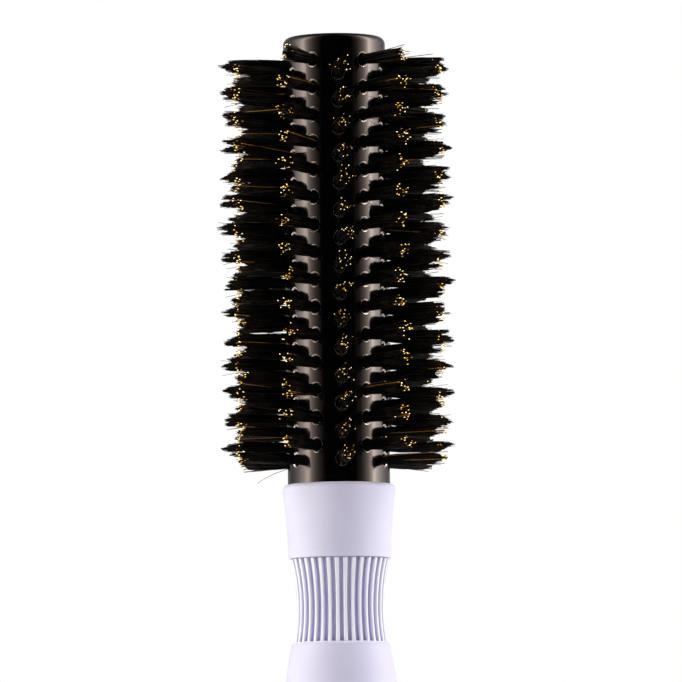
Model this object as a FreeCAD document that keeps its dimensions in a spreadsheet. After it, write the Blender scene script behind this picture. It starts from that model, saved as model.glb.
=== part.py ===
import FreeCAD, Part

import os

import Sketcher

# Round barrel brush. The brush stands on its tail: +Z runs along its axis from the tail to the
# barrel's tip, and the origin is the centre of the tail's flat end. Levels are heights above it.

SIZES = {
    # barrel
    "barrel_radius": 12.76,
    "barrel_tip": 247.85,
    "crown_edge_radius": 10.9,
    "crown_edge_drop": 0.5,
    "corner_radius": 1.78,
    "seat_level": 132.1,
    "tenon_radius": 7.0,
    "tenon_length": 32.0,
    "tenon_bevel": 0.8,
    # tufts, their holes and their anchors
    "row_count": 12,
    "tufts_per_row": 15,
    "tuft_pitch": 6.88,
    "first_tuft": 140.95,
    "hole_radius": 1.45,
    "hole_floor": 7.6,
    "lip_depth": 0.2,
    "lip_reach": 0.3,
    "lip_width": 1.24,
    "tuft_root_radius": 1.02,
    "tuft_tip_radius": 2.2,
    "tip_round": 0.083,
    "bristle_radius": 29.4,
    "anchor_width": 1.2,
    "anchor_thickness": 0.25,
    "anchor_half_length": 1.43,
    # handle core and the pin that locks the tenon in it
    "core_radius": 9.0,
    "core_tail_radius": 6.0,
    "core_step": 30.0,
    "core_bevel": 0.5,
    "fit_gap": 0.05,
    "socket_spare": 0.5,
    "pin_level": 106.0,
    "pin_radius": 1.25,
    "pin_half_length": 8.8,
    "pin_bevel": 0.3,
    # front collar
    "collar_top": 135.15,
    "collar_bottom": 116.6,
    "seam_gap": 0.1,
    "collar_lip_radius": 12.95,
    "collar_top_radius": 14.05,
    "collar_bottom_radius": 12.85,
    "collar_flare_radius": 150.0,
    "collar_corner_height": 1.3,
    "collar_corner_radius": 1.25,
    "rim_radius": 0.3,
    # ribbed sleeve
    "rib_gap": 0.2,
    "rib_top_radius": 12.6,
    "rib_bottom_radius": 11.8,
    "waist_curve": 49.5,
    "neck_radius": 11.2,
    "flute_count": 36,
    "flute_turn": -2.8,
    "flute_half_width": 0.48,
    "flute_depth": 1.25,
    "flute_spare": 0.6,
    "flute_land": 0.15,
    "rib_round": 0.44,
    # rear grip
    "grip_top": 95.55,
    "grip_shoulder_radius": 12.3,
    "grip_shoulder_drop": 0.7,
    "grip_shoulder_curve": 0.7,
    "grip_swell_radius": 14.8,
    "grip_swell_level": 70.2,
    "grip_front_curve": 121.3,
    "grip_rear_curve": 328.7,
    # tail cap
    "tail_level": 9.0,
    "tail_radius": 8.9,
    "tail_edge_radius": 8.5,
    "tail_corner": 2.2,
    "tail_flat_radius": 6.3,
    "spigot_radius": 3.0,
    "spigot_length": 8.0,
    # nought, for a point on the axis or at the base
    "axis": 0.0,
    "base": 0.0,
}

doc = FreeCAD.newDocument("round_barrel_brush")
sheet = doc.addObject("Spreadsheet::Sheet", "Sizes")
for line, (name, value) in enumerate(SIZES.items(), start=1):
    sheet.set(f"A{line}", name)
    sheet.set(f"B{line}", str(value))
    sheet.setAlias(f"B{line}", name)
doc.recompute()


def amount(terms):
    """The sum of the named sizes; a name after a minus sign is taken off."""
    return sum(-SIZES[t[1:]] if t[0] == "-" else SIZES[t] for t in terms.split())


def formula(terms):
    """The same sum, as an expression on the sheet's cells."""
    signed = (f"- Sizes.{t[1:]}" if t[0] == "-" else f"+ Sizes.{t}" for t in terms.split())
    return " ".join(signed).removeprefix("+ ")


def origin_feature(body, role):
    """One of a body's own origin planes or axes."""
    return next(f for f in body.Origin.OriginFeatures if f.Role == role)


def new_body(name):
    body = doc.addObject("PartDesign::Body", name)
    body.Label = name
    body.AllowCompound = True
    return body


def bend_point(start, end, radius, side):
    """The middle of an arc between two points; side is +1 where it bulges to the right of the way."""
    chord = end - start
    rise = radius - (radius**2 - (chord.Length / 2) ** 2) ** 0.5
    right = FreeCAD.Vector(chord.y, -chord.x, 0).normalize()
    return (start + end) / 2 + right * rise * side


def crown(start, end):
    """The radius of an arc that meets the axis squarely at one of its ends, and that axis."""
    chord = end - start
    upright = min(abs(start.x), abs(end.x)) < 1e-9
    return chord.Length**2 / (2 * abs(chord.y if upright else chord.x)), -2 if upright else -1


def pin_coordinate(sketch, kind, edge, corner, terms):
    """Fixes one coordinate of an edge's end, on the axis itself where the size is zero."""
    if abs(amount(terms)) < 1e-9:
        axis = -2 if kind == "DistanceX" else -1
        sketch.addConstraint(Sketcher.Constraint("PointOnObject", edge, corner, axis))
        return
    index = sketch.addConstraint(Sketcher.Constraint(kind, edge, corner, amount(terms)))
    sketch.setExpression(f"Constraints[{index}]", formula(terms))


def outline(body, name, plane, points, bends=(), closed=True):
    """A sketch through points, each a pair of sums of sizes. bends gives, by the number of the
    point where it starts, the radius of an arc and the side that it bulges to. An arc with no
    radius is a crown, with its centre on the axis that it ends on."""
    sketch = body.newObject("Sketcher::SketchObject", name)
    sketch.AttachmentSupport = [(origin_feature(body, plane), "")]
    sketch.MapMode = "FlatFace"
    spots = [FreeCAD.Vector(amount(across), amount(up), 0) for across, up in points]
    bends = dict(bends)
    ends = []
    for i, start in enumerate(spots if closed else spots[:-1]):
        end = spots[(i + 1) % len(spots)]
        if i not in bends:
            edge = sketch.addGeometry(Part.LineSegment(start, end))
            ends.append((edge, 1, 2))
            continue
        radius, side = bends[i]
        length = amount(radius) if radius else crown(start, end)[0]
        arc = Part.Arc(start, bend_point(start, end, length, side), end)
        edge = sketch.addGeometry(arc)
        begins = sketch.getPoint(edge, 1).distanceToPoint(start) < 1e-6
        ends.append((edge, 1, 2) if begins else (edge, 2, 1))
        if radius:
            index = sketch.addConstraint(Sketcher.Constraint("Radius", edge, length))
            sketch.setExpression(f"Constraints[{index}]", formula(radius))
        else:
            axis = crown(start, end)[1]
            sketch.addConstraint(Sketcher.Constraint("PointOnObject", edge, 3, axis))
    corners = [(edge, first) for edge, first, _ in ends]
    following = corners[1:] + (corners[:1] if closed else [])
    for (edge, _, last), corner in zip(ends, following):
        sketch.addConstraint(Sketcher.Constraint("Coincident", edge, last, *corner))
    if not closed:
        corners.append((ends[-1][0], ends[-1][2]))
    for corner, (across, up) in zip(corners, points):
        pin_coordinate(sketch, "DistanceX", *corner, across)
        pin_coordinate(sketch, "DistanceY", *corner, up)
    return sketch


def turned(body, name, sketch, axis="V_Axis", kind="Revolution"):
    """Turns a sketch all the way round one of its own axes, to add or to cut."""
    feature = body.newObject(f"PartDesign::{kind}", name)
    feature.Profile = (sketch, [""])
    feature.ReferenceAxis = (sketch, [axis])
    feature.Angle = 360
    sketch.Visibility = False
    doc.recompute()
    return feature


def lengthwise(pattern, body):
    """Sets a linear pattern to one row of tufts, along the brush's axis."""
    pattern.Direction = (origin_feature(body, "Z_Axis"), [""])
    pattern.Mode = "Spacing"
    pattern.setExpression("Offset", "Sizes.tuft_pitch")
    pattern.setExpression("Occurrences", "Sizes.tufts_per_row")


def around(pattern, body, count):
    """Spreads a polar pattern evenly round the brush's axis."""
    pattern.Axis = (origin_feature(body, "Z_Axis"), [""])
    pattern.Angle = 360
    pattern.setExpression("Occurrences", count)


def row_pattern(body, originals):
    """Repeats one tuft's features along the row."""
    pattern = body.newObject("PartDesign::LinearPattern", f"{body.Name}_pattern")
    pattern.Originals = originals
    lengthwise(pattern, body)
    body.Tip = pattern
    doc.recompute()


def turn_about_axis(body, angle):
    """Turns a finished piece round the brush's axis by a size or a formula, in degrees."""
    body.Placement = FreeCAD.Placement(FreeCAD.Vector(), FreeCAD.Rotation(FreeCAD.Vector(0, 0, 1), 1))
    body.setExpression(".Placement.Rotation.Angle", angle)
    doc.recompute()


def set_row_place(body, number):
    """Turns a row to its angle; every second row starts half a pitch higher."""
    turn_about_axis(body, f"{number - 1} * 360 / Sizes.row_count")
    lift = "" if number % 2 == 0 else " + Sizes.tuft_pitch / 2"
    body.setExpression(".Placement.Base.z", "Sizes.first_tuft" + lift)


def make_barrel():
    """The barrel and its tenon, with a blind hole for each tuft, each with a shallow lip."""
    body = new_body("barrel")
    profile = outline(
        body,
        "barrel_profile",
        "XZ_Plane",
        [
            ("axis", "seat_level -tenon_length"),
            ("tenon_radius -tenon_bevel", "seat_level -tenon_length"),
            ("tenon_radius", "seat_level -tenon_length tenon_bevel"),
            ("tenon_radius", "seat_level"),
            ("barrel_radius", "seat_level"),
            ("barrel_radius", "barrel_tip -crown_edge_drop -corner_radius"),
            ("crown_edge_radius", "barrel_tip -crown_edge_drop"),
            ("axis", "barrel_tip"),
        ],
        {5: ("corner_radius", 1), 6: (None, 1)},
    )
    turned(body, "barrel_turned", profile)
    for plane, level in (
        ("YZ_Plane", "Sizes.first_tuft"),
        ("XZ_Plane", "Sizes.first_tuft + Sizes.tuft_pitch / 2"),
    ):
        hole = outline(
            body,
            f"hole_profile_{plane[:2]}",
            plane,
            [
                ("hole_floor", "axis"),
                ("hole_floor", "hole_radius"),
                ("barrel_radius -lip_depth", "hole_radius"),
                ("barrel_radius lip_reach", "hole_radius lip_width"),
                ("barrel_radius lip_reach", "axis"),
            ],
        )
        hole.setExpression(".AttachmentOffset.Base.y", level)
        doc.recompute()
        before = body.Shape.Volume
        cut = turned(body, f"hole_{plane[:2]}", hole, "H_Axis", "Groove")
        assert body.Shape.Volume < before - 1.0, "the tuft hole cuts nothing"
        holes = body.newObject("PartDesign::MultiTransform", f"holes_{plane[:2]}")
        holes.Originals = [cut]
        along = body.newObject("PartDesign::LinearPattern", f"holes_along_{plane[:2]}")
        lengthwise(along, body)
        ring = body.newObject("PartDesign::PolarPattern", f"holes_around_{plane[:2]}")
        around(ring, body, "Sizes.row_count / 2")
        holes.Transformations = [along, ring]
        body.Tip = holes
        doc.recompute()
    cross_hole(body)
    return body


def cross_hole(body):
    """The hole for the tenon pin, right across a piece along X."""
    sketch = body.newObject("Sketcher::SketchObject", f"{body.Name}_pin_circle")
    sketch.AttachmentSupport = [(origin_feature(body, "YZ_Plane"), "")]
    sketch.MapMode = "FlatFace"
    centre = FreeCAD.Vector(0, SIZES["pin_level"], 0)
    circle = sketch.addGeometry(Part.Circle(centre, FreeCAD.Vector(0, 0, 1), SIZES["pin_radius"]))
    sketch.addConstraint(Sketcher.Constraint("PointOnObject", circle, 3, -2))
    for kind, place, terms in (("DistanceY", (circle, 3), "pin_level"), ("Radius", (circle,), "pin_radius")):
        index = sketch.addConstraint(Sketcher.Constraint(kind, *place, amount(terms)))
        sketch.setExpression(f"Constraints[{index}]", formula(terms))
    doc.recompute()
    before = body.Shape.Volume
    pocket = body.newObject("PartDesign::Pocket", f"{body.Name}_pin_hole")
    pocket.Profile = (sketch, [""])
    pocket.Type = "ThroughAll"
    pocket.SideType = "Symmetric"
    doc.recompute()
    assert body.Shape.Volume < before - 1.0, "the pin hole cuts nothing"
    return pocket


def make_tuft_row(number):
    """One row of tufts: each is a bundle that spreads from its root on the flat-wire anchor to
    its trimmed tip."""
    body = new_body(f"tuft_row_{number:02d}")
    profile = outline(
        body,
        f"tuft_profile_{number:02d}",
        "XZ_Plane",
        [
            ("hole_floor anchor_width", "axis"),
            ("bristle_radius", "axis"),
            ("bristle_radius -tip_round", "tuft_tip_radius"),
            ("hole_floor anchor_width", "tuft_root_radius"),
        ],
        {1: (None, 1)},
    )
    tuft = turned(body, f"tuft_{number:02d}", profile, "H_Axis")
    row_pattern(body, [tuft])
    set_row_place(body, number)
    return body


def make_anchor_row(number):
    """The flat-wire anchors of one row of tufts, on the floors of their holes."""
    body = new_body(f"anchor_row_{number:02d}")
    profile = outline(
        body,
        f"anchor_profile_{number:02d}",
        "XZ_Plane",
        [
            ("hole_floor", "-anchor_half_length"),
            ("hole_floor anchor_width", "-anchor_half_length"),
            ("hole_floor anchor_width", "anchor_half_length"),
            ("hole_floor", "anchor_half_length"),
        ],
    )
    strip = body.newObject("PartDesign::Pad", f"anchor_{number:02d}")
    strip.Profile = (profile, [""])
    strip.SideType = "Symmetric"
    strip.setExpression("Length", "Sizes.anchor_thickness")
    doc.recompute()
    row_pattern(body, [strip])
    set_row_place(body, number)
    return body


def make_handle_core():
    """The rigid core: a socket for the tenon at the top, a bore for the tail cap at the bottom."""
    body = new_body("handle_core")
    profile = outline(
        body,
        "core_profile",
        "XZ_Plane",
        [
            ("axis", "tail_level spigot_length socket_spare"),
            ("spigot_radius fit_gap", "tail_level spigot_length socket_spare"),
            ("spigot_radius fit_gap", "tail_level"),
            ("core_tail_radius", "tail_level"),
            ("core_tail_radius", "core_step"),
            ("core_radius", "core_step core_radius -core_tail_radius"),
            ("core_radius", "seat_level -core_bevel"),
            ("core_radius -core_bevel", "seat_level"),
            ("tenon_radius fit_gap", "seat_level"),
            ("tenon_radius fit_gap", "seat_level -tenon_length -socket_spare"),
            ("axis", "seat_level -tenon_length -socket_spare"),
        ],
    )
    turned(body, "core_turned", profile)
    cross_hole(body)
    return body


def make_tenon_pin():
    """The cross pin through the core and the tenon, bevelled at both ends."""
    body = new_body("tenon_pin")
    profile = outline(
        body,
        "pin_profile",
        "XZ_Plane",
        [
            ("-pin_half_length", "axis"),
            ("pin_half_length", "axis"),
            ("pin_half_length", "pin_radius -fit_gap -pin_bevel"),
            ("pin_half_length -pin_bevel", "pin_radius -fit_gap"),
            ("-pin_half_length pin_bevel", "pin_radius -fit_gap"),
            ("-pin_half_length", "pin_radius -fit_gap -pin_bevel"),
        ],
    )
    turned(body, "pin_turned", profile, "H_Axis")
    body.Placement = FreeCAD.Placement(FreeCAD.Vector(0, 0, SIZES["pin_level"]), FreeCAD.Rotation())
    body.setExpression(".Placement.Base.z", "Sizes.pin_level")
    return body


def make_front_collar():
    """The flared ring round the barrel's seat, with a rounded top edge and a crisp lower rim."""
    body = new_body("front_collar")
    profile = outline(
        body,
        "collar_profile",
        "XZ_Plane",
        [
            ("core_radius fit_gap", "collar_bottom"),
            ("collar_bottom_radius -rim_radius", "collar_bottom"),
            ("collar_bottom_radius", "collar_bottom rim_radius"),
            ("collar_top_radius", "collar_top -collar_corner_height"),
            ("collar_lip_radius", "collar_top"),
            ("barrel_radius seam_gap", "collar_top"),
            ("barrel_radius seam_gap", "seat_level"),
            ("core_radius fit_gap", "seat_level"),
        ],
        {1: ("rim_radius", 1), 2: ("collar_flare_radius", -1), 3: ("collar_corner_radius", 1)},
    )
    turned(body, "collar_turned", profile)
    return body


def make_ribbed_sleeve():
    """The waisted sleeve between the collar and the grip, with round-backed ribs all round it."""
    body = new_body("ribbed_sleeve")
    waist = [("rib_bottom_radius", "grip_top flute_land"), ("rib_top_radius", "collar_bottom -rib_gap")]
    profile = outline(
        body,
        "sleeve_profile",
        "XZ_Plane",
        [("core_radius fit_gap", "grip_top"), ("rib_bottom_radius", "grip_top")]
        + waist
        + [
            ("neck_radius", "collar_bottom -rib_gap"),
            ("neck_radius", "collar_bottom"),
            ("core_radius fit_gap", "collar_bottom"),
        ],
        {2: ("waist_curve", -1)},
    )
    turned(body, "sleeve_turned", profile)
    before = body.Shape.Volume
    path = outline(body, "flute_path", "XZ_Plane", waist, {0: ("waist_curve", -1)}, closed=False)
    section = outline(
        body,
        "flute_section",
        "XY_Plane",
        [
            ("rib_bottom_radius -flute_depth", "-flute_half_width"),
            ("rib_bottom_radius -flute_depth", "flute_half_width"),
            ("rib_bottom_radius -rib_round", "flute_half_width"),
            ("rib_bottom_radius", "flute_half_width rib_round"),
            ("rib_bottom_radius flute_spare", "flute_half_width rib_round"),
            ("rib_bottom_radius flute_spare", "-flute_half_width -rib_round"),
            ("rib_bottom_radius", "-flute_half_width -rib_round"),
            ("rib_bottom_radius -rib_round", "-flute_half_width"),
        ],
        {2: ("rib_round", 1), 6: ("rib_round", 1)},
    )
    section.setExpression(".AttachmentOffset.Base.z", "Sizes.grip_top + Sizes.flute_land")
    doc.recompute()
    flute = body.newObject("PartDesign::SubtractivePipe", "flute")
    flute.Profile = (section, [""])
    flute.Spine = (path, ["Edge1"])
    flute.Mode = "Fixed"
    doc.recompute()
    assert body.Shape.Volume < before - 1.0, "the flute cuts nothing"
    flutes = body.newObject("PartDesign::PolarPattern", "flutes")
    flutes.Originals = [flute]
    around(flutes, body, "Sizes.flute_count")
    body.Tip = flutes
    turn_about_axis(body, "Sizes.flute_turn")
    return body


def make_rear_grip():
    """The swelling grip, from the soft shoulder under the flutes down to the tail."""
    body = new_body("rear_grip")
    profile = outline(
        body,
        "grip_profile",
        "XZ_Plane",
        [
            ("core_tail_radius fit_gap", "tail_level"),
            ("tail_radius", "tail_level"),
            ("grip_swell_radius", "grip_swell_level"),
            ("grip_shoulder_radius", "grip_top -grip_shoulder_drop"),
            ("rib_bottom_radius", "grip_top"),
            ("core_radius fit_gap", "grip_top"),
            ("core_radius fit_gap", "core_step core_radius -core_tail_radius"),
            ("core_tail_radius fit_gap", "core_step"),
        ],
        {1: ("grip_rear_curve", 1), 2: ("grip_front_curve", 1), 3: ("grip_shoulder_curve", 1)},
    )
    turned(body, "grip_turned", profile)
    return body


def make_tail_cap():
    """The cap that closes the tail, with a spigot in the core's bore and a flat end."""
    body = new_body("tail_cap")
    profile = outline(
        body,
        "cap_profile",
        "XZ_Plane",
        [
            ("axis", "base"),
            ("tail_flat_radius", "base"),
            ("tail_edge_radius", "tail_corner"),
            ("tail_radius", "tail_level"),
            ("spigot_radius", "tail_level"),
            ("spigot_radius", "tail_level spigot_length"),
            ("axis", "tail_level spigot_length"),
        ],
        {1: ("tail_corner", 1)},
    )
    turned(body, "cap_turned", profile)
    return body


def check_and_write(bodies):
    """Stops on anything that failed; otherwise writes one STEP file for each body."""
    doc.recompute()
    for thing in doc.Objects:
        if "Invalid" in thing.State or "Error" in thing.State:
            raise RuntimeError(f"{thing.Label} failed: {thing.State}")
    for body in bodies:
        if body.Shape.isNull() or not body.Shape.isValid():
            raise RuntimeError(f"{body.Label} has a bad shape")
    os.makedirs("parts", exist_ok=True)
    for body in bodies:
        body.Shape.exportStep(f"parts/{body.Label}.step")
        print(body.Label, len(body.Shape.Solids), "solids", round(body.Shape.Volume, 1), "mm3")


ROWS = range(1, SIZES["row_count"] + 1)
check_and_write(
    [make_barrel(), make_handle_core(), make_tenon_pin()]
    + [make_front_collar(), make_ribbed_sleeve(), make_rear_grip(), make_tail_cap()]
    + [make_tuft_row(number) for number in ROWS]
    + [make_anchor_row(number) for number in ROWS]
)
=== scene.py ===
import math

import bpy
import numpy as np
from mathutils import Matrix, Vector


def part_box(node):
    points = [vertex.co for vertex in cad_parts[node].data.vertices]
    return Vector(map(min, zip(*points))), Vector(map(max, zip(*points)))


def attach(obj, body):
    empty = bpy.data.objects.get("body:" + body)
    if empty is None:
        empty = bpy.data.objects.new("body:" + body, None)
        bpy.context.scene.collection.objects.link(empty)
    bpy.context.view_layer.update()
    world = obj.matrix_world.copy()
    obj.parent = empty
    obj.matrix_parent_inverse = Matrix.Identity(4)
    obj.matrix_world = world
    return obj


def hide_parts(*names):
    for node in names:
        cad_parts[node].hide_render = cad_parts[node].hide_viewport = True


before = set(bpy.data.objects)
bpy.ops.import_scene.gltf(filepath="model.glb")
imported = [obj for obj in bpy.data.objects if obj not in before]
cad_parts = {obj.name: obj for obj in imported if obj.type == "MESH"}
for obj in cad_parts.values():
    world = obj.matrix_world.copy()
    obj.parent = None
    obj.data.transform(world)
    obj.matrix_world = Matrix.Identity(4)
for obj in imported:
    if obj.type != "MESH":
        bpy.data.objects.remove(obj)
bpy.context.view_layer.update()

MM = 0.001
ROWS = 12
TUFTS = 15
ROW_ANGLE = 2 * math.pi / ROWS
BARREL_RADIUS = 12.76 * MM
# where the barrel's rounded end begins, above the last holes
END_LEVEL = 244.5 * MM


# ---------------------------------------------------------------- materials

class Nodes:
    """A new material with one Principled shader, and short ways to add nodes to it."""

    def __init__(self, name, **settings):
        self.material = bpy.data.materials.new(name)
        self.material.use_nodes = True
        self.tree = self.material.node_tree
        self.shader = self.tree.nodes["Principled BSDF"]
        for socket, value in settings.items():
            self.shader.inputs[socket.replace("_", " ")].default_value = value

    def add(self, kind, **inputs):
        node = self.tree.nodes.new("ShaderNode" + kind)
        for socket, value in inputs.items():
            node.inputs[socket.replace("_", " ")].default_value = value
        return node

    def link(self, source, target):
        self.tree.links.new(source, target)

    def noise(self, scale, detail=3.0, roughness=0.55):
        """Noise in the object's own metres, so a scale of 1000 is a feature of about 1 mm."""
        place = self.add("TexCoord")
        node = self.add("TexNoise", Scale=scale, Detail=detail, Roughness=roughness)
        self.link(place.outputs["Object"], node.inputs["Vector"])
        return node.outputs["Fac"]

    def math(self, operation, first, second):
        """Arithmetic on a socket and either another socket or a number."""
        node = self.add("Math")
        node.operation = operation
        self.link(first, node.inputs[0])
        if isinstance(second, float):
            node.inputs[1].default_value = second
        else:
            self.link(second, node.inputs[1])
        return node.outputs[0]

    def vector(self, operation, source, other=None):
        node = self.add("VectorMath")
        node.operation = operation
        self.link(source, node.inputs[0])
        if other:
            node.inputs[1].default_value = other
        return node

    def ramp(self, source, *stops):
        node = self.add("ValToRGB")
        bands = node.color_ramp.elements
        bands[0].position, bands[0].color = stops[0][0], (*stops[0][1], 1)
        bands[1].position, bands[1].color = stops[-1][0], (*stops[-1][1], 1)
        for position, colour in stops[1:-1]:
            bands.new(position).color = (*colour, 1)
        self.link(source, node.inputs["Fac"])
        return node.outputs["Color"]

    def spread(self, source, low, high):
        """Maps a noise's middle range to low..high."""
        node = self.add("MapRange")
        for socket, value in (("From Min", 0.3), ("From Max", 0.7), ("To Min", low), ("To Max", high)):
            node.inputs[socket].default_value = value
        self.link(source, node.inputs["Value"])
        return node.outputs["Result"]

    def bump(self, source, height, strength=1.0):
        node = self.add("Bump", Strength=strength, Distance=height)
        self.link(source, node.inputs["Height"])
        self.link(node.outputs["Normal"], self.shader.inputs["Normal"])
        return node

    def set(self, socket, source):
        self.link(source, self.shader.inputs[socket])


def grey(value):
    return (value, value, value, 1)


def soft_touch(name, pale, deep, painted_shade=None):
    """Lilac soft-touch coating: matt, faintly mottled, with a fine suede-like grain. Where it has
    a painted shade colour, ambient occlusion paints shade into the hollows and paints the crests pale, as
    painted light."""
    m = Nodes(name, Sheen_Weight=0.35, Sheen_Roughness=0.5, Specular_IOR_Level=0.35)
    if painted_shade:
        # painted shade: ambient occlusion darkens the colour in the hollows and under the rim, and pales it on
        # the crests
        hollow = m.add("AmbientOcclusion", Distance=1.3 * MM)
        hollow.samples = 8
        tone = m.math("ADD", m.math("MULTIPLY", m.noise(70, 4), 0.12), hollow.outputs["AO"])
        m.set("Base Color", m.ramp(tone, (0.3, painted_shade), (0.62, deep), (0.96, pale)))
    else:
        m.set("Base Color", m.ramp(m.noise(70, 4), (0.35, deep), (0.65, pale)))
    m.set("Roughness", m.spread(m.noise(240, 2), 0.52, 0.66))
    m.bump(m.noise(5200, 2), 0.00002, 0.35)
    return m.material


def lips(m):
    """One on the lips of the barrel's holes, nought on the rest: below the rounded end, they are
    where the surface leans away from straight out."""
    place = m.add("TexCoord")
    level_part = m.vector("MULTIPLY", place.outputs["Object"], (1, 1, 0))
    outward = m.vector("NORMALIZE", level_part.outputs["Vector"])
    facing = m.vector("DOT_PRODUCT", outward.outputs["Vector"])
    m.link(place.outputs["Normal"], facing.inputs[1])
    black, white = (0, 0, 0), (1, 1, 1)
    leaning = m.ramp(facing.outputs["Value"], (0.3, black), (0.7, white), (0.96, white), (0.98, black))
    split = m.add("SeparateXYZ")
    m.link(place.outputs["Object"], split.inputs[0])
    return m.math("MULTIPLY", leaning, m.math("LESS_THAN", split.outputs["Z"], END_LEVEL))


def gloss_barrel():
    """Near-black lacquer: a clear, slightly warm reflection and a trace of orange peel. The lips
    of the holes carry a painted highlight: a paler colour, more roughness and a far stronger specular than the
    lacquer's, and every edge looks 0.4 mm rounder."""
    m = Nodes("barrel_lacquer", Specular_Tint=(1.0, 0.79, 0.68, 1))
    lip = lips(m)
    # painted highlight: the lips are given a paler colour, for crescents of light on their edges
    tone = m.math("ADD", m.math("MULTIPLY", m.noise(120, 3), 0.5), m.math("MULTIPLY", lip, 0.5))
    dark, deep, lip_highlight = (0.0006, 0.0005, 0.0005), (0.0013, 0.001, 0.0009), (0.045, 0.041, 0.038)
    m.set("Base Color", m.ramp(tone, (0.2, dark), (0.31, deep), (0.46, deep), (0.62, lip_highlight)))
    m.set("Roughness", m.math("ADD", m.spread(m.noise(420, 3), 0.07, 0.11), m.math("MULTIPLY", lip, 0.16)))
    m.set("Specular IOR Level", m.math("ADD", m.math("MULTIPLY", lip, 8.0), 0.54))
    rounded = m.add("Bevel", Radius=0.4 * MM)
    rounded.samples = 6
    peel = m.bump(m.noise(650, 2), 0.00003, 0.06)
    m.link(rounded.outputs["Normal"], peel.inputs["Normal"])
    return m.material


def drawn_metal(name, dark, light, roughness):
    """Metal with fine drawing marks."""
    m = Nodes(name, Metallic=1.0)
    m.set("Base Color", m.ramp(m.noise(1800, 4), (0.35, dark), (0.65, light)))
    m.set("Roughness", m.spread(m.noise(2600, 2), roughness - 0.06, roughness + 0.08))
    m.bump(m.noise(3200, 2), 0.00001, 0.3)
    return m.material


def moulded(name, pale, deep):
    """Rigid moulded plastic with a light spark-eroded texture."""
    m = Nodes(name)
    m.set("Base Color", m.ramp(m.noise(90, 3), (0.35, deep), (0.65, pale)))
    m.set("Roughness", m.spread(m.noise(900, 3), 0.4, 0.55))
    m.bump(m.noise(2600, 3), 0.00003, 0.4)
    return m.material


def strand_finish(name, colour, roughness, **settings):
    """One shade of a bristle or filament. A strand is thinner than any grain, so its variation
    comes from several such shades on one tuft."""
    return Nodes(name, Base_Color=(*colour, 1), Roughness=roughness, **settings).material


BRISTLE_SHADES = [
    strand_finish("bristle_black", (0.0009, 0.0008, 0.0007), 0.42, Specular_IOR_Level=0.05),
    strand_finish("bristle_sepia", (0.002, 0.0014, 0.001), 0.45, Specular_IOR_Level=0.05),
    strand_finish("bristle_umber", (0.006, 0.0034, 0.0016), 0.45, Specular_IOR_Level=0.05),
]
BRISTLE_TIPS = [strand_finish("bristle_tip", (0.006, 0.0035, 0.002), 0.45, Specular_IOR_Level=0.05)]
FILAMENT_SHADES = [
    strand_finish("filament_shaft", (0.006, 0.0028, 0.0007), 0.45, Specular_IOR_Level=0.15),
    strand_finish("filament_amber", (0.26, 0.12, 0.012), 0.3),
]
# the cut ends glow: their amber is the filament's own, but their brightness and emission are a painted glint,
# for the light that a clear filament gathers and lets out at its cut end
FILAMENT_GLOWING_ENDS = [
    strand_finish(f"filament_glowing_end_{name}", colour, 0.25, Emission_Color=(*colour, 1), Emission_Strength=glow)
    for name, colour, glow in (
        ("cream", (1.0, 0.84, 0.42), 1.7),
        ("amber", (1.0, 0.6, 0.08), 1.2),
        ("brown", (0.5, 0.22, 0.012), 0.6),
    )
]


# ---------------------------------------------------------------- strands

def strands_mesh(name, lines, radii, sides, steps, shades, share, tips, random):
    """Tapered tubes along quadratic curves, as one mesh.

    lines are three N x 3 arrays: where each strand starts, the point that it bends past and where
    it ends. radii are at the two ends, steps where the tube has a ring. Each strand takes one of
    the shades, in the given shares, and its last stretch takes one of the tips' shades."""
    start, bend, end = lines
    count, rings = len(start), len(steps)
    t = np.array(steps)
    shares = ((1 - t) ** 2, 2 * t * (1 - t), t**2)
    line = sum(part[None, :, None] * point[:, None] for part, point in zip(shares, lines))
    along = end - start
    along /= np.linalg.norm(along, axis=1)[:, None]
    across = np.cross(along, [0.0, 0.0, 1.0])
    across /= np.linalg.norm(across, axis=1)[:, None]
    upward = np.cross(along, across)
    turn = np.arange(sides) * 2 * math.pi / sides
    ring = across[:, None] * np.cos(turn)[None, :, None] + upward[:, None] * np.sin(turn)[None, :, None]
    radius = radii[0] + (radii[1] - radii[0]) * t
    tube = line[:, :, None] + radius[None, :, None, None] * ring[:, None]
    points = np.concatenate([tube.reshape(-1, 3), end + along * radii[1] * 0.8])

    first = np.arange(count)[:, None, None] * rings * sides
    level = np.arange(rings - 1)[None, :, None] * sides
    side = np.arange(sides)[None, None, :]
    beside = (side + 1) % sides
    near, far = first + level, first + level + sides
    quads = np.stack([near + side, near + beside, far + beside, far + side], axis=-1).reshape(-1, 4)
    last = first[:, 0] + (rings - 1) * sides
    tip = np.broadcast_to(count * rings * sides + np.arange(count)[:, None], (count, sides))
    caps = np.stack([last + side[0], last + beside[0], tip], axis=-1).reshape(-1, 3)

    mesh = bpy.data.meshes.new(name)
    mesh.from_pydata(points.tolist(), [], quads.tolist() + caps.tolist())
    mesh.polygons.foreach_set("use_smooth", np.ones(len(mesh.polygons), bool))
    shade = np.repeat(random.choice(len(shades), count, p=share)[:, None], (rings - 1) * sides, axis=1)
    shade[:, -sides:] = len(shades) + random.randint(len(tips), size=count)[:, None]
    faces = np.concatenate([shade.reshape(-1), shade[:, -sides:].reshape(-1)])
    mesh.polygons.foreach_set("material_index", faces.astype(np.int32))
    for material in shades + tips:
        mesh.materials.append(material)
    mesh.update()
    piece = bpy.data.objects.new(name, mesh)
    bpy.context.scene.collection.objects.link(piece)
    return piece


# the strands start inside the holes and end at the outer edge of the brush
ROOT_DISTANCE = 9.4 * MM
BRISTLE_REACH = 30.4 * MM
TIP_RADIUS = 1.8 * MM
MOUTH_RADIUS = 0.72 * MM
# from a row's end to the middle of its first tuft
ROW_MARGIN = 2.2 * MM
# how many points a tuft's bristles gather to
KNOTS = 5
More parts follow.
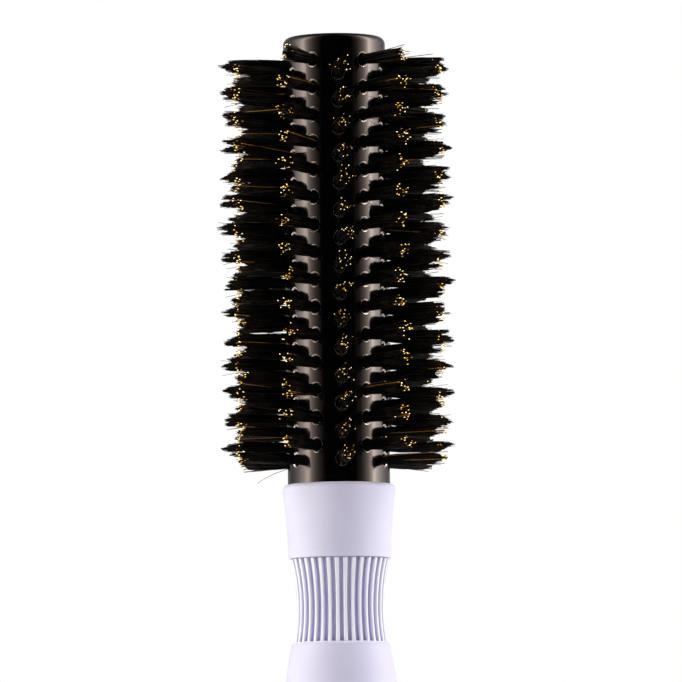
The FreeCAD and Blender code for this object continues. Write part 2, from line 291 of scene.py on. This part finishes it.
# tufts that stand away from their row: (row, tuft up from 0 at the handle) to how far, in mm
# (sideways, along the barrel)
UNRULY = {
    (5, 3): (-0.9, 0.7),
    (7, 14): (0.0, -0.7),
    (8, 6): (0.3, -1.1),
    (11, 14): (0.8, -0.6),
    (12, 9): (0.5, 1.0),
}
# rows whose filaments end shorter, in mm
WORN = {1: 4.2, 2: 2.5, 6: 2.5, 7: 4.2}

# what a tuft is made of: fine bristles outside, denser locks of them inside, and filaments
STRANDS = {
    "bristles": {
        "count": 200,
        "radii": (0.11 * MM, 0.055 * MM),
        "sides": 3,
        "steps": (0, 0.3, 0.58, 0.82, 1),
        "shades": BRISTLE_SHADES,
        "share": (0.72, 0.22, 0.06),
        "tips": BRISTLE_TIPS,
    },
    "locks": {
        "count": 44,
        "radii": (0.13 * MM, 0.24 * MM),
        "sides": 5,
        "steps": (0, 0.4, 0.8, 1),
        "shades": BRISTLE_SHADES[:2],
        "share": (0.9, 0.1),
        "tips": BRISTLE_TIPS,
    },
    "filaments": {
        "count": 14,
        "radii": (0.11 * MM, 0.08 * MM),
        "sides": 6,
        "steps": (0, 0.35, 0.7, 0.986, 1),
        "shades": FILAMENT_SHADES,
        "share": (0.94, 0.06),
        "tips": FILAMENT_GLOWING_ENDS,
    },
}


def in_disc(random, count):
    """Points spread evenly over a unit disc."""
    angle = random.uniform(0, 2 * math.pi, count)
    reach = np.sqrt(random.uniform(0, 1, count))
    return np.stack([reach * np.cos(angle), reach * np.sin(angle)], axis=1)


def tuft_lines(random, kind, count, habit):
    """Start, bend and end of one tuft's strands, along its own axes: out, sideways, along. Each
    bristle leans to the nearest knot, so that the tuft ends in a few points."""
    level, lean, splay, trim, knots, cuts, worn = habit
    spot = in_disc(random, count)
    edge = (spot**2).sum(axis=1)
    gaps = np.linalg.norm(spot[:, None] - knots[None], axis=2)
    nearest = np.argmin(gaps, axis=1)
    if kind == "bristles":
        aim = spot * 0.48 + knots[nearest] * 0.52
        short = cuts[nearest] + 0.8 * edge + 2.2 * gaps.min(axis=1) + np.abs(random.normal(0, 0.4, count))
        stray = random.uniform(0, 1, count) < 0.03
        wander = random.normal(0, 1, (count, 2)) * np.where(stray, 0.7, 0.09)[:, None]
    elif kind == "locks":
        aim = spot * 0.62 + knots[nearest] * 0.3
        short = 1.6 + 0.8 * cuts[nearest] + 1.6 * edge + random.uniform(0, 1.6, count)
        wander = random.normal(0, 0.05, (count, 2))
    else:
        aim = spot
        short = random.uniform(-0.2, 0.8, count) + 0.5 * edge + worn
        wander = random.normal(0, 0.28, (count, 2))
    tip = (aim + wander) * TIP_RADIUS * splay + lean
    start = np.column_stack([np.full(count, ROOT_DISTANCE), spot * MOUTH_RADIUS])
    bend = np.column_stack(
        [BARREL_RADIUS + random.uniform(3.0, 6.5, count) * MM, spot * TIP_RADIUS * splay * 1.04 + lean * 0.35]
    )
    end = np.column_stack([BRISTLE_REACH - trim - short * MM, tip])
    for line in (start, bend, end):
        line[:, 2] += level
    return start, bend, end


def row_habits(number):
    """How each tuft of a row stands: its level, lean, splay and trim, the knots that its bristles
    gather to, with how much shorter they are there, and how far its filaments are worn."""
    random = np.random.RandomState(number)
    low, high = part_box(f"tuft_row_{number:02d}")
    habits = []
    for tuft, level in enumerate(np.linspace(low.z + ROW_MARGIN, high.z - ROW_MARGIN, TUFTS)):
        lean = (np.array(UNRULY.get((number, tuft), (0, 0))) + random.normal(0, (0.45, 0.22))) * MM
        splay, trim = random.uniform(0.88, 1.1), random.uniform(0, 0.6) * MM
        knots, cuts = in_disc(random, KNOTS), random.uniform(0, 3.0, KNOTS)
        habits.append((level, lean, splay, trim, knots, cuts, WORN.get(number, 0)))
    return habits


def make_tufts():
    """Three pieces for each row: its bristles, its locks and its filaments."""
    for number in range(1, ROWS + 1):
        habits = row_habits(number)
        angle = (number - 1) * ROW_ANGLE
        outward, sideways = (math.cos(angle), math.sin(angle), 0), (-math.sin(angle), math.cos(angle), 0)
        spin = np.array([outward, sideways, (0, 0, 1)])
        for order, (kind, build) in enumerate(STRANDS.items()):
            random = np.random.RandomState(100 * number + order)
            tufts = [tuft_lines(random, kind, build["count"], habit) for habit in habits]
            lines = [np.concatenate(group) @ spin for group in zip(*tufts)]
            shape = [build[key] for key in ("radii", "sides", "steps", "shades", "share", "tips")]
            piece = strands_mesh(f"{kind}_{number:02d}", lines, *shape, random)
            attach(piece, "root")
            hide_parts(f"tuft_row_{number:02d}")


# ---------------------------------------------------------------- CAD nodes

def dress(node, material):
    """Gives a CAD node its finish."""
    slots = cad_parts[node].data.materials
    slots.clear()
    slots.append(material)


def dress_cad():
    """Finishes for every CAD node that shows, and for those inside the brush."""
    lilac = soft_touch("lilac_soft_touch", (0.556, 0.528, 0.66), (0.532, 0.504, 0.64))
    for node in ("front_collar", "rear_grip", "tail_cap"):
        dress(node, lilac)
    # painted light and shade: the sleeve gets a paler copy of the lilac on its crests and a darker one in its
    # grooves
    ribbed = soft_touch("lilac_ribbed", (0.71, 0.7, 0.775), (0.66, 0.63, 0.79), (0.38, 0.35, 0.58))
    dress("ribbed_sleeve", ribbed)
    dress("barrel", gloss_barrel())
    dress("handle_core", moulded("core_plastic", (0.42, 0.38, 0.52), (0.36, 0.33, 0.46)))
    dress("tenon_pin", drawn_metal("pin_steel", (0.42, 0.42, 0.44), (0.62, 0.62, 0.64), 0.3))
    wire = drawn_metal("anchor_brass", (0.45, 0.3, 0.12), (0.72, 0.53, 0.26), 0.35)
    for number in range(1, ROWS + 1):
        dress(f"anchor_row_{number:02d}", wire)


# ---------------------------------------------------------------- stage

AIM = Vector((0, 0, 0.17112))
CAMERA_DISTANCE = 2.1
CAMERA_AZIMUTH = math.radians(-4.3)
CAMERA_RISE = math.radians(-4.58)
CAMERA_ROLL = math.radians(-0.665)
VIEW_WIDTH = 0.1705
SIDEWAYS = 0.00091
SENSOR = 36.0


def make_camera():
    """A long lens a little below the middle of the brush, looking slightly up."""
    data = bpy.data.cameras.new("camera")
    data.sensor_width = SENSOR
    data.lens = SENSOR * CAMERA_DISTANCE / VIEW_WIDTH
    data.clip_start, data.clip_end = 0.5, 100
    camera = bpy.data.objects.new("camera", data)
    bpy.context.scene.collection.objects.link(camera)
    back = Vector(
        (
            math.sin(CAMERA_AZIMUTH) * math.cos(CAMERA_RISE),
            -math.cos(CAMERA_AZIMUTH) * math.cos(CAMERA_RISE),
            math.sin(CAMERA_RISE),
        )
    )
    look = (-back).to_track_quat("-Z", "Y").to_matrix()
    roll = Matrix.Rotation(CAMERA_ROLL, 3, "Z")
    right = look @ Vector((1, 0, 0))
    place = Matrix.Translation(AIM + right * SIDEWAYS + back * CAMERA_DISTANCE)
    camera.matrix_world = place @ (look @ roll).to_4x4()
    bpy.context.scene.camera = camera


def area_light(name, azimuth, rise, distance, width, height, radiance, colour=(1, 1, 1)):
    """A rectangular softbox that faces the brush, with its brightness given as radiance."""
    data = bpy.data.lights.new(name, "AREA")
    data.shape = "RECTANGLE"
    data.size, data.size_y = width, height
    data.energy = radiance * math.pi * width * height
    data.color = colour
    light = bpy.data.objects.new(name, data)
    bpy.context.scene.collection.objects.link(light)
    a, e = math.radians(azimuth), math.radians(rise)
    out = Vector((math.sin(a) * math.cos(e), -math.cos(a) * math.cos(e), math.sin(e)))
    light.location = AIM + out * distance
    light.rotation_euler = out.to_track_quat("Z", "Y").to_euler()
    light.visible_camera = False
    return light


def make_lights():
    """Soft fill from above and from both sides, which the lacquer doesn't mirror."""
    for light in (
        area_light("overhead", 0, 55, 0.9, 0.7, 0.6, 1.85, (0.86, 0.84, 1.0)),
        area_light("left_fill", -88, 0, 0.9, 0.7, 0.6, 3.15, (0.985, 1.0, 0.65)),
        area_light("right_fill", 80, 0, 0.9, 0.7, 0.6, 1.0, (0.985, 1.0, 0.7)),
    ):
        light.visible_glossy = False


# the two softboxes: (degrees from the front, to the right, radiance in the middle)
SOFTBOXES = [(-80, 8.8), (83, 11.2)]
# the degrees in which a softbox fades to about a third, towards the front and towards the back
FRONT_FADE, BACK_FADE = 11.3, 17.0
# what the fade is lowered by towards the front, so that it ends in black there
FRONT_CUT = 0.015
# how far a softbox shows from its middle, in degrees, and how often its brightness is worked out
FRONT_REACH, BACK_REACH, STOP_STEP = 48, 56, 8
BACK_GLOW = 0.3
STUDIO_PEAK = 12.0
# how the studio falls off with height: (degrees above the horizon, share)
FALLOFF = [(-90, 0.02), (-60, 0.1), (-35, 0.75), (-22, 1.0), (26, 1.0), (40, 0.7), (62, 0.12), (90, 0.05)]


def studio_stops():
    """The studio's brightness round the horizon: (degrees from the front, to the right, radiance)."""
    stops = [(-180, BACK_GLOW)]
    for middle, radiance in SOFTBOXES:
        side = math.copysign(1, middle)
        for offset in range(-FRONT_REACH, BACK_REACH + 1, STOP_STEP):
            if offset < 0:
                share = max(math.exp(offset / FRONT_FADE) - FRONT_CUT, 0)
            else:
                share = math.exp(-offset / BACK_FADE)
            stops.append((middle + side * offset, radiance * share))
    return stops + [(180, BACK_GLOW)]


def make_world():
    """White behind the brush; all round it a dark studio with a graded softbox on either side."""
    world = bpy.data.worlds.new("studio")
    bpy.context.scene.world = world
    world.use_nodes = True
    tree = world.node_tree
    tree.nodes.clear()

    def add(kind, **settings):
        node = tree.nodes.new("ShaderNode" + kind)
        for name, value in settings.items():
            setattr(node, name, value)
        return node

    def math_node(operation, first, second=None):
        node = add("Math", operation=operation)
        tree.links.new(first, node.inputs[0])
        if second is not None:
            tree.links.new(second, node.inputs[1])
        return node.outputs[0]

    def graded(angle, stops, low, high, peak):
        """The stops' value at an angle, as a share of the peak."""
        place = add("MapRange")
        for socket, value in (("From Min", math.radians(low)), ("From Max", math.radians(high))):
            place.inputs[socket].default_value = value
        tree.links.new(angle, place.inputs["Value"])
        ramp = add("ValToRGB")
        bands = ramp.color_ramp.elements
        for band, (degrees, value) in zip(bands, (stops[0], stops[-1])):
            band.position, band.color = (degrees - low) / (high - low), grey(value / peak)
        for degrees, value in stops[1:-1]:
            bands.new((degrees - low) / (high - low)).color = grey(value / peak)
        tree.links.new(place.outputs["Result"], ramp.inputs["Fac"])
        return ramp.outputs["Color"]

    def background(strength, colour=None):
        node = add("Background")
        node.inputs["Color"].default_value = grey(1.0)
        node.inputs["Strength"].default_value = strength
        if colour is not None:
            tree.links.new(colour, node.inputs["Color"])
        return node.outputs[0]

    way = add("SeparateXYZ")
    tree.links.new(add("TexCoord").outputs["Generated"], way.inputs[0])
    backward = add("Math", operation="MULTIPLY")
    backward.inputs[1].default_value = -1.0
    tree.links.new(way.outputs["Y"], backward.inputs[0])
    azimuth = math_node("ARCTAN2", way.outputs["X"], backward.outputs[0])
    rise = math_node("ARCSINE", way.outputs["Z"])
    light = math_node(
        "MULTIPLY", graded(azimuth, studio_stops(), -180, 180, STUDIO_PEAK), graded(rise, FALLOFF, -90, 90, 1.0)
    )
    seen = add("LightPath").outputs["Is Camera Ray"]
    mix = add("MixShader")
    tree.links.new(seen, mix.inputs[0])
    tree.links.new(background(STUDIO_PEAK, light), mix.inputs[1])
    tree.links.new(background(1.0), mix.inputs[2])
    tree.links.new(mix.outputs[0], add("OutputWorld").inputs[0])


def make_floor():
    """A plain pale floor under the brush, with its edge turned far away."""
    mesh = bpy.data.meshes.new("floor")
    reach, count = 30.0, 96
    turns = [i * 2 * math.pi / count for i in range(count)]
    rim = [(reach * math.cos(turn), reach * math.sin(turn), 0) for turn in turns]
    mesh.from_pydata(rim, [], [list(range(count))])
    floor = bpy.data.objects.new("floor", mesh)
    bpy.context.scene.collection.objects.link(floor)
    m = Nodes("floor_paint", Specular_IOR_Level=0.1)
    m.set("Base Color", m.ramp(m.noise(3, 2), (0.3, (0.86, 0.86, 0.87)), (0.7, (0.89, 0.89, 0.9))))
    m.set("Roughness", m.spread(m.noise(12, 2), 0.75, 0.85))
    mesh.materials.append(m.material)


make_camera()
make_world()
make_lights()
make_floor()
dress_cad()
make_tufts()
bpy.context.scene.view_settings.view_transform = "Standard"
